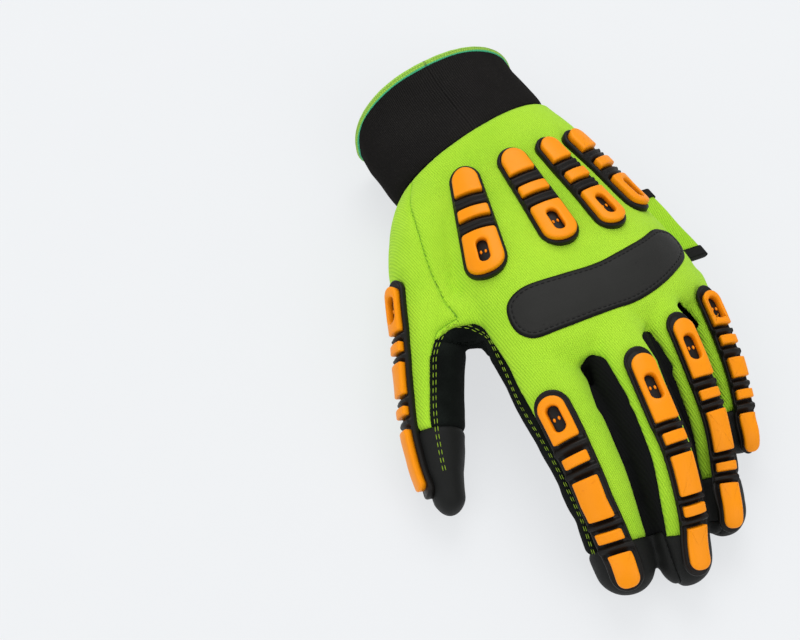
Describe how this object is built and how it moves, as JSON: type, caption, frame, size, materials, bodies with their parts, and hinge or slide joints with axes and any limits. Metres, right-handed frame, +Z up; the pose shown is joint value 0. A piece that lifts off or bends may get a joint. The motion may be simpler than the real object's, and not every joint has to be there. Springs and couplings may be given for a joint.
{
  "type": "mechanic glove",
  "caption": "Left work glove with a knit back, raised rubber impact guards on the hand and fingers, a suede palm and a ribbed cuff, lying palm down.",
  "frame": {"origin": "middle of the outline box, at the surface that the palm rests on", "axes": "+X towards the little finger, -X towards the thumb; -Y towards the fingertips, +Y towards the cuff; +Z up, out of the back of the hand"},
  "size_m": [0.1432, 0.2382, 0.0553],
  "materials": {
    "green_knit": "matte bright yellow-green knit",
    "orange_rubber": "satin orange moulded rubber",
    "black_rubber": "satin black moulded rubber",
    "smooth_black": "smooth dark grey coated fabric",
    "black_knit": "matte black knit",
    "rib_knit": "matte black ribbed elastic knit",
    "suede": "matte black synthetic suede",
    "green_binding": "green overlocked binding"
  },
  "bodies": {
    "root": {"back_panel": "green_knit", "cuff": "rib_knit", "cuff_binding": "green_binding", "finger_patch_index": "suede", "finger_patch_little": "suede", "finger_patch_middle": "suede", "finger_patch_ring": "suede", "fingertip_index": "smooth_black", "fingertip_little": "smooth_black", "fingertip_middle": "smooth_black", "fingertip_ring": "smooth_black", "fingertip_thumb": "smooth_black", "fourchette_index_middle": "black_knit", "fourchette_middle_ring": "black_knit", "fourchette_ring_little": "black_knit", "guard_index_base": "black_rubber", "guard_index_pads": "orange_rubber", "guard_little_base": "black_rubber", "guard_little_pads": "orange_rubber", "guard_middle_base": "black_rubber", "guard_middle_pads": "orange_rubber", "guard_ring_base": "black_rubber", "guard_ring_pads": "orange_rubber", "guard_thumb_base": "black_rubber", "guard_thumb_pads": "orange_rubber", "hand_guard_index_base": "black_rubber", "hand_guard_index_pads": "orange_rubber", "hand_guard_little_base": "black_rubber", "hand_guard_little_pads": "orange_rubber", "hand_guard_middle_base": "black_rubber", "hand_guard_middle_pads": "orange_rubber", "hand_guard_ring_base": "black_rubber", "hand_guard_ring_pads": "orange_rubber", "knuckle_patch": "smooth_black", "palm_overlay": "suede", "palm_panel": "suede", "side_tab": "green_knit", "side_tab_binding_back": "smooth_black", "side_tab_binding_front": "smooth_black", "thumb_back_panel": "green_knit", "thumb_front_panel": "suede"}
  },
  "joints": []
}
